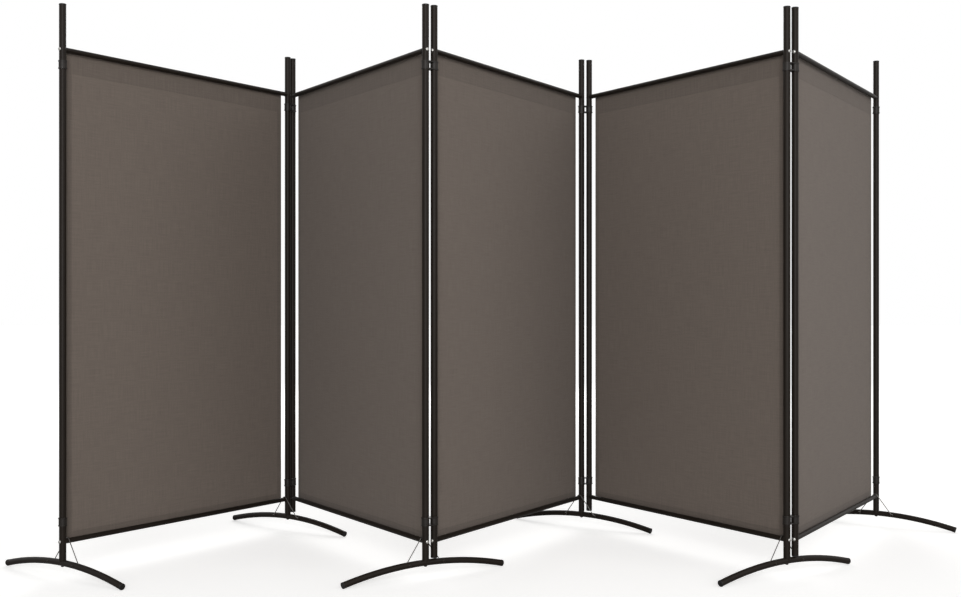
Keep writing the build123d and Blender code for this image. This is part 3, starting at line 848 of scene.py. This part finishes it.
for k in PANELS:
    shapes = []
    for x, inward in ((0.0, 1), (PANEL_WIDTH, -1)):
        if k > 0 and x == 0.0:
            continue
        shapes.append(brace_wire(x, inward))
        for y in (-BRACE_REACH, BRACE_REACH):
            shapes.append(along_panel(wire_eye(), x + inward * (BRACE_FOOT_X - WIRE_R), y,
                                      BRACE_Z, inward))
    points, faces = many_grids(shapes)
    wires = mesh_piece(f"panel_{k + 1}_brace_wires", placed(k, points), faces)
    split_edges(wires)
    wires.data.materials.append(drawn_steel)
    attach(wires, f"panel_{k + 1}")
    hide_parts(f"panel_{k + 1}_braces")
    print(wires.name, len(faces), "faces")

# %% [markdown]
# ## Floor, background and light
# The screen stands on a pale floor in front of white. The floor is a plain diffuse plane, so
# it keeps the shadows, and it is lifted to white only where the camera looks at it, through
# Light Path. Far from the screen the lamps reach it less, so there it is lifted more. The same
# goes for the world: camera, mirror and glass rays see white, while the light that falls on
# the screen stays at its own level.
#
# Most of the light comes from one wide lamp behind the camera, which reaches into the folds. A
# weaker one from the right gives the panels that face it a little more, and one from the rear
# lights the screen's back.

# %% Floor
LIT_RADIUS = 2.5
WHITE_RADIUS = 9.0
LIFT_NEAR = 0.56
LIFT_FAR = 0.80
FLOOR_HALF = 40.0
FLOOR_DROP = 0.2 * MM


def floor_paint():
    material, tree, output = new_material("studio_floor_white")
    ray = add_node(tree, "LightPath").outputs["Is Camera Ray"]
    place = add_node(tree, "TexCoord").outputs["Object"]
    distance = add_node(tree, "VectorMath", {"operation": "LENGTH"}, {0: place})
    level = add_node(tree, "MapRange", {"From Min": LIT_RADIUS, "From Max": WHITE_RADIUS,
                                        "To Min": LIFT_NEAR, "To Max": LIFT_FAR},
                     {"Value": distance.outputs["Value"]})
    lift = add_node(tree, "Math", {"operation": "MULTIPLY"}, {0: ray, 1: level.outputs[0]})
    shader = add_node(tree, "BsdfPrincipled",
                      {"Base Color": linear("#E4E3E1"), "Roughness": 0.9,
                       "Specular IOR Level": 0.1, "Emission Color": linear("#FFFFFF")},
                      {"Emission Strength": lift.outputs[0]})
    tree.links.new(shader.outputs[0], output.inputs["Surface"])
    return material


# The floor lies a hair low, so that it and the flats under the feet don't share a plane
corners = np.array([[-1, -1, 0], [1, -1, 0], [1, 1, 0], [-1, 1, 0]]) * FLOOR_HALF
floor = mesh_piece("studio_floor", corners - np.array([0, 0, FLOOR_DROP]),
                   np.array([[0, 1, 2, 3]]), closed=False)
floor.data.materials.append(floor_paint())

# %% World and lamp
AMBIENT = 0.30
world = bpy.data.worlds.new("white_studio")
bpy.context.scene.world = world
world.use_nodes = True
world.node_tree.nodes.clear()
tree = world.node_tree
path = add_node(tree, "LightPath")
seen = path.outputs["Is Camera Ray"]
for name in ("Is Glossy Ray", "Is Transmission Ray"):
    seen = add_node(tree, "Math", {"operation": "MAXIMUM"},
                    {0: seen, 1: path.outputs[name]}).outputs[0]
level = add_node(tree, "MapRange", {"To Min": AMBIENT, "To Max": 1.0}, {"Value": seen})
background = add_node(tree, "Background", {"Color": linear("#FFFFFF")},
                      {"Strength": level.outputs[0]})
add_node(tree, "OutputWorld", links={"Surface": background.outputs[0]})


def soft_lamp(name, place, aim, size, watts):
    """A square area lamp at a place, turned to face a point, and unseen itself."""
    data = bpy.data.lights.new(name, "AREA")
    data.size = size
    data.energy = watts
    lamp = bpy.data.objects.new(name, data)
    lamp.location = place
    lamp.rotation_euler = (Vector(aim) - Vector(place)).to_track_quat("-Z", "Y").to_euler()
    lamp.visible_camera = False
    bpy.context.scene.collection.objects.link(lamp)


SCREEN_MIDDLE = (0.0, 0.0, 0.9)
soft_lamp("front_window", (0.0, -8.0, 2.5), SCREEN_MIDDLE, size=4.0, watts=414)
soft_lamp("right_window", (5.5, -3.5, 3.2), (0.3, 0.0, 0.9), size=3.5, watts=68)
soft_lamp("rear_window", (0.0, 7.0, 4.0), SCREEN_MIDDLE, size=4.0, watts=260)
bpy.context.scene.view_settings.view_transform = "Standard"
print("ambient:", AMBIENT)
